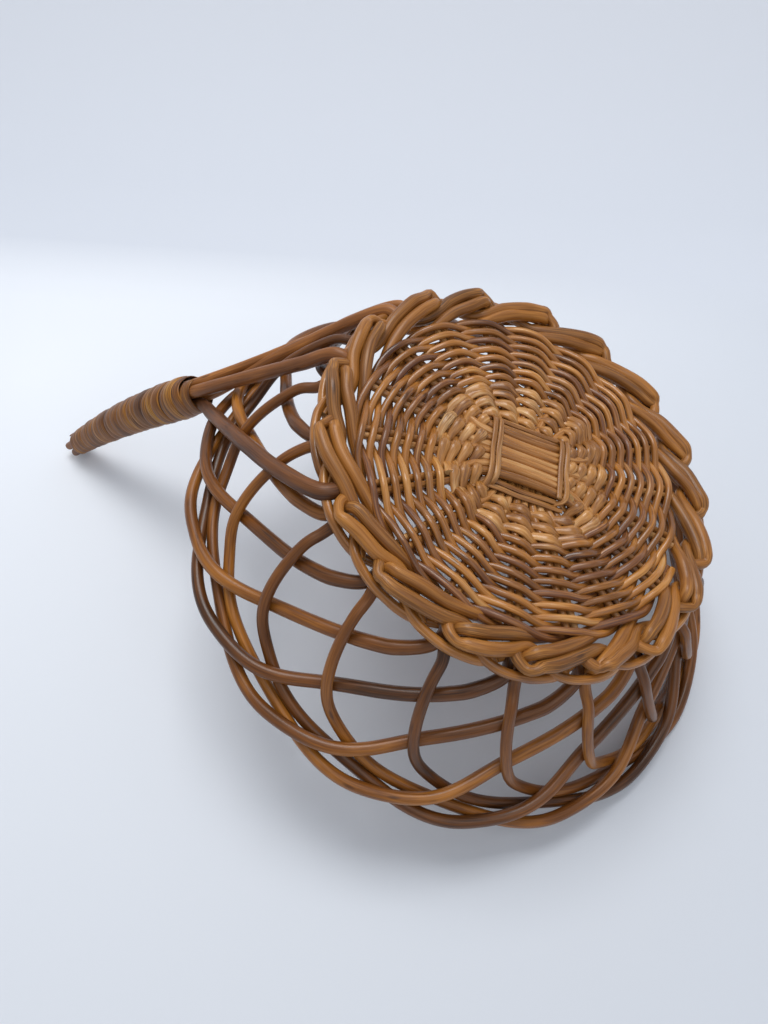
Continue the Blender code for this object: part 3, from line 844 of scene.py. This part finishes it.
# The azimuth where the inner rows end, eleven positions round
INNER_ROWS_END = FIRST_POSITION - CROSS_TWIST + 11 * POSITION_ANGLE
PRESSED_IN = 0.0002
WEAVER_STEP = 0.0018
# Half positions that one weaver reaches before the next is pieced in, its wear and girth
PIECE_REACH = (9, 22)
PIECE_WEARS = (0.0, 0.05, 0.15, 0.25, 0.4, 0.9, 1.0)
PIECE_GIRTHS = (0.92, 1.1)


def outer_strand_stations(strand):
    """From where the inner rows end, pieced from weavers of different shades."""
    stations = []
    stray = random.Random(85 + strand)
    rows = (OUTER_ROWS_END - OUTER_ROWS_START) / ROW_PITCH
    lift = (STICK + WEAVER) / 2 - PRESSED_IN
    left = 0
    for step in range(1, 2 * int(rows * POSITIONS)):
        angle = step * POSITION_ANGLE / 2
        radius = OUTER_ROWS_START + angle / math.tau * ROW_PITCH
        over = strand * (1 if (step // 2) % 2 == 0 else -1)
        if left == 0:
            left = stray.randint(*PIECE_REACH)
            wear = stray.choice(PIECE_WEARS)
            girth = stray.uniform(*PIECE_GIRTHS)
        left -= 1
        if step % 2 == 0:
            point = polar(INNER_ROWS_END + angle, radius, over * lift - BASE_DROP)
        else:
            point = polar(INNER_ROWS_END + angle, radius + over * WEAVER * 0.5, -BASE_DROP)
        stations.append((point, WEAVER * girth, wear))
    return stations


weaver_willow = willow_finish("stained willow weaver", "42200B", "B0722F", "EBB770", "5A3224",
                              roughness=0.31, coat=0.45)
WEAVER_SETTINGS = {
    "Ring spacing": 0.0012, "Sides": 10, "Flatness": 0.85, "Bow": 0.0011, "Bow length": 0.014,
    "Swelling": 0.12, "Fluting": 0.0005, "Flute width": 0.0014, "Willow": weaver_willow,
    "Cut wood": cut_willow,
}
for name, strand in (("over", 1), ("under", -1)):
    spiral = bend_through(outer_strand_stations(strand), WEAVER_STEP)
    make_piece(f"weaver_{name}", flat_growth, [(spiral, False)], [f"base_weaver_{name}"],
               {**WEAVER_SETTINGS, "Tone": 0.45 + 0.1 * strand, "Seed": 81 + strand})


# Wale. Two thin rods are twisted round the foot of the wall, close under the border: each goes
# outside one pair of legs and inside the next, and they cross in the spaces.
WALE = 0.0050
WALE_WEAR = 0.15
WALE_STEP = 0.002
# Turn in positions, then radius and height in millimetres, over two positions
WALE_ROUTE = (
    (-0.40, 105.4, -12.6), (-0.15, 106.6, -12.8), (0.10, 106.6, -13.2), (0.32, 105.6, -14.0),
    (0.52, 103.6, -15.0), (0.74, 99.0, -15.4), (0.96, 96.0, -14.6), (1.18, 97.8, -13.4),
    (1.40, 102.6, -12.6),
)


def wale_points(strand):
    return [basket_point(FIRST_POSITION + (2 * pair + strand + turn) * POSITION_ANGLE,
                         radius / 1000, height / 1000)
            for pair in range(POSITIONS // 2) for turn, radius, height in WALE_ROUTE]


for name, strand in (("outside", 0), ("inside", 1)):
    ring = bend_through(even(wale_points(strand), WALE, WALE_WEAR), WALE_STEP, closed=True)
    make_piece(f"wale_strand_{name}", round_growth, [(ring, True)], [f"wale_{name}"],
               {**WEAVER_SETTINGS, "Tone": 0.42 + 0.12 * strand, "Seed": 91 + strand})


# Handle rods. Stouter willow left in its dark bark: four rods start in the border, run over the
# wall and lie two by two in the grip.
HANDLE_ROD = 0.0074
HANDLE_LAY = 0.0080
GRIP_TOP = Vector((-0.168, -0.004, -0.099))
GRIP_TIP = Vector((-0.247, -0.004, -0.238))
GRIP_BOW = 0.0037
TUCKED_END = (0.0975, -0.0095)
BORDER_SEAT = (0.1065, -0.0105)
GRIP_RUN_SHARES = (0.0, 0.12, 0.3, 0.5, 0.7, 0.88, 1.0)
# Name, place on the border in degrees, layer and side in the grip, thickness and tone
HANDLE_ROUTES = (
    ("handle_rod_top_outer", 151.6, 1, 1, 0.0062, 0.85),
    ("handle_rod_top_inner", 156.4, -1, 1, 0.0074, 0.75),
    ("handle_rod_middle", 181.0, 1, -1, 0.0076, 0.60),
    ("handle_rod_lower", 224.0, -1, -1, 0.0084, 0.10),
)
CHORD_SHARES = (0.2, 0.4, 0.6, 0.8)
HANDLE_WEAR = 0.5
HANDLE_STEP = 0.002
TUCKED_GIRTH = 0.9
# How far the rods lie off the middle line of the wall, pressed against its own rods, and the
# share of that at the border and its growth towards the fork
WALL_PRESS = 0.0070
PRESS_START = 0.3
PRESS_GROWTH = 1.2
# The grip is thinner towards its tip
TIP_SHARE = 0.76
grip_axis = (GRIP_TIP - GRIP_TOP).normalized()
grip_side = Vector((0, 1, 0))
grip_out = grip_axis.cross(grip_side).normalized()
if grip_out.x > 0:
    grip_out, grip_side = -grip_out, -grip_side
grip_length = (GRIP_TIP - GRIP_TOP).length


def handle_rod_stations(border_degrees, layer, side, thick):
    """Tucked under the border, straight over the wall, then along its lane in the grip."""
    begin = math.radians(border_degrees)
    lane = (grip_out * layer - grip_side * side) * HANDLE_LAY / 2
    seat = polar(begin, *BORDER_SEAT)
    fork = GRIP_TOP + lane
    stations = [(polar(begin, *TUCKED_END), thick * TUCKED_GIRTH, HANDLE_WEAR),
                (seat, thick, HANDLE_WEAR)]
    for share in CHORD_SHARES:
        point = seat.lerp(fork, share)
        depth = -point.z / WALL_DEPTH
        centre = Vector((RIM_SHIFT * depth, 0, point.z))
        pressed = WALL_PRESS * min(1.0, PRESS_START + PRESS_GROWTH * share)
        least = wall_radius(depth) + pressed
        if (point - centre).length < least:
            point = centre + (point - centre).normalized() * least
        stations.append((point, thick, HANDLE_WEAR))
    for share in GRIP_RUN_SHARES:
        taper = 1 - (1 - TIP_SHARE) * share
        point = (GRIP_TOP + grip_axis * grip_length * share
                 + grip_out * 4 * GRIP_BOW * share * (1 - share) + lane * taper)
        stations.append((point, HANDLE_ROD * taper, HANDLE_WEAR))
    return stations


bark_willow = willow_finish("willow in its bark", "33180B", "7E4A1E", "C07C38", "85552F",
                            roughness=0.45, coat=0.12)
for name, degrees, layer, side, thick, tone_share in HANDLE_ROUTES:
    stations = handle_rod_stations(degrees, layer, side, thick)
    make_piece(name.replace("handle_rod", "handle_willow"), round_growth,
               [(bend_through(stations, HANDLE_STEP), False)], [name],
               {**ROD_SETTINGS, "Willow": bark_willow, "Tone": tone_share,
                "Seed": 101 + round(degrees)})


# Winding. One long flat strip of split willow is wound tightly round the four rods from the
# fork to just short of the tip. Its turns overlap, lean and spread a little unevenly.
SKEIN_TURNS = 24
SKEIN_STEPS = 36
# In shares of the pitch: a turn's width, how much that varies, and how far a turn slips
SKEIN_OVERLAP = 1.18
SKEIN_WIDENING = 0.32
SKEIN_SLIP = 0.28
# In metres: how far a turn tilts, is lifted and leans over the one before it
SKEIN_TILT = 0.0021
SKEIN_LIFT = 0.00035
SKEIN_LEAN = 0.0008
# The four rods below give the winding soft corners
SKEIN_SQUARENESS = 0.035
SKEIN_GRAIN_RADIUS = 0.0098
SKEIN_THICKNESS = 0.0009
GRIP_BARE_END = 0.007
SKEIN_START = -0.003
# Share of the grip's length and the radius under the strip, in millimetres
SKEIN_RADII = ((-0.03, 8.6), (0.02, 9.9), (0.08, 10.9), (0.30, 10.4), (0.60, 9.0),
               (0.85, 7.4), (1.00, 6.7))
SKEIN_ACROSS_SHARES = (-0.5, -0.42, -0.2, 0.0, 0.2, 0.42, 0.5)
SKEIN_CROWN_SHARES = (0.35, 0.85, 1.0, 1.0, 1.0, 0.85, 0.35)


def skein_radius(share):
    for (low, near), (high, far) in zip(SKEIN_RADII, SKEIN_RADII[1:]):
        if share <= high:
            return part_way(near, far, low, high, max(share, low)) / 1000
    return SKEIN_RADII[-1][1] / 1000


def make_winding():
    wound = grip_length - GRIP_BARE_END - SKEIN_START
    pitch = wound / (SKEIN_TURNS + 1)
    points, faces, grain, tones, wears = [], [], [], [], []
    rows = SKEIN_TURNS * SKEIN_STEPS + 1
    ring = 2 * len(SKEIN_ACROSS_SHARES)
    stray = random.Random(17)
    habits = [[stray.uniform(-1, 1) for _ in range(6)] for _ in range(SKEIN_TURNS + 2)]
    for row in range(rows):
        turn = row / SKEIN_STEPS
        angle = math.tau * turn
        near, far = habits[int(turn)], habits[int(turn) + 1]
        slip, lean, heading, lift_up, widen, shade = (
            part_way(low, high, 0, 1, turn - int(turn)) for low, high in zip(near, far))
        width = pitch * (SKEIN_OVERLAP + SKEIN_WIDENING * widen)
        tilt = SKEIN_TILT * lean * math.cos(angle + math.pi * heading)
        down = SKEIN_START + pitch * (turn + 0.5 + SKEIN_SLIP * slip) + tilt
        square = 1 + SKEIN_SQUARENESS * (1 - math.cos(4 * angle)) / 2
        radial = grip_out * math.cos(angle) + grip_side * math.sin(angle)
        share = down / grip_length
        middle = (GRIP_TOP + grip_axis * down
                  + grip_out * 4 * GRIP_BOW * share * (1 - share))
        under = skein_radius(share) * square + SKEIN_LIFT * lift_up
        section = [(across, crown * SKEIN_THICKNESS) for across, crown
                   in zip(SKEIN_ACROSS_SHARES, SKEIN_CROWN_SHARES)]
        section += [(across, 0.0) for across in SKEIN_ACROSS_SHARES[::-1]]
        for across, height in section:
            lift = under + height + SKEIN_LEAN * across
            points.append(middle + radial * lift + grip_axis * across * width)
            grain.append((across * width, height, turn * math.tau * SKEIN_GRAIN_RADIUS))
            tones.append(0.5 + 0.28 * shade)
            wears.append(0.35 + 0.3 * lean)
        if row:
            first, last = (row - 1) * ring, row * ring
            faces += [(first + place, first + (place + 1) % ring,
                       last + (place + 1) % ring, last + place) for place in range(ring)]
    faces += [tuple(range(ring))[::-1], tuple(range((rows - 1) * ring, rows * ring))]
    mesh = bpy.data.meshes.new("skein_winding")
    mesh.from_pydata(points, [], faces)
    mesh.attributes.new("grain", "FLOAT_VECTOR", "POINT").data.foreach_set(
        "vector", [value for place in grain for value in place])
    for label, values in (("tone", tones), ("wear", wears)):
        mesh.attributes.new(label, "FLOAT", "POINT").data.foreach_set("value", values)
    mesh.transform(RESTING)
    for face in mesh.polygons:
        face.use_smooth = len(face.vertices) == 4
    mesh.materials.append(willow_finish(
        "split willow skein", "331708", "854F14", "D39632", "5E3916", roughness=0.42, coat=0.1,
        streak_mm=0.3, streaking=1.5))
    winding = bpy.data.objects.new("skein_winding", mesh)
    scene.collection.objects.link(winding)
    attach(winding, "root")
    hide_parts("handle_winding")


make_winding()
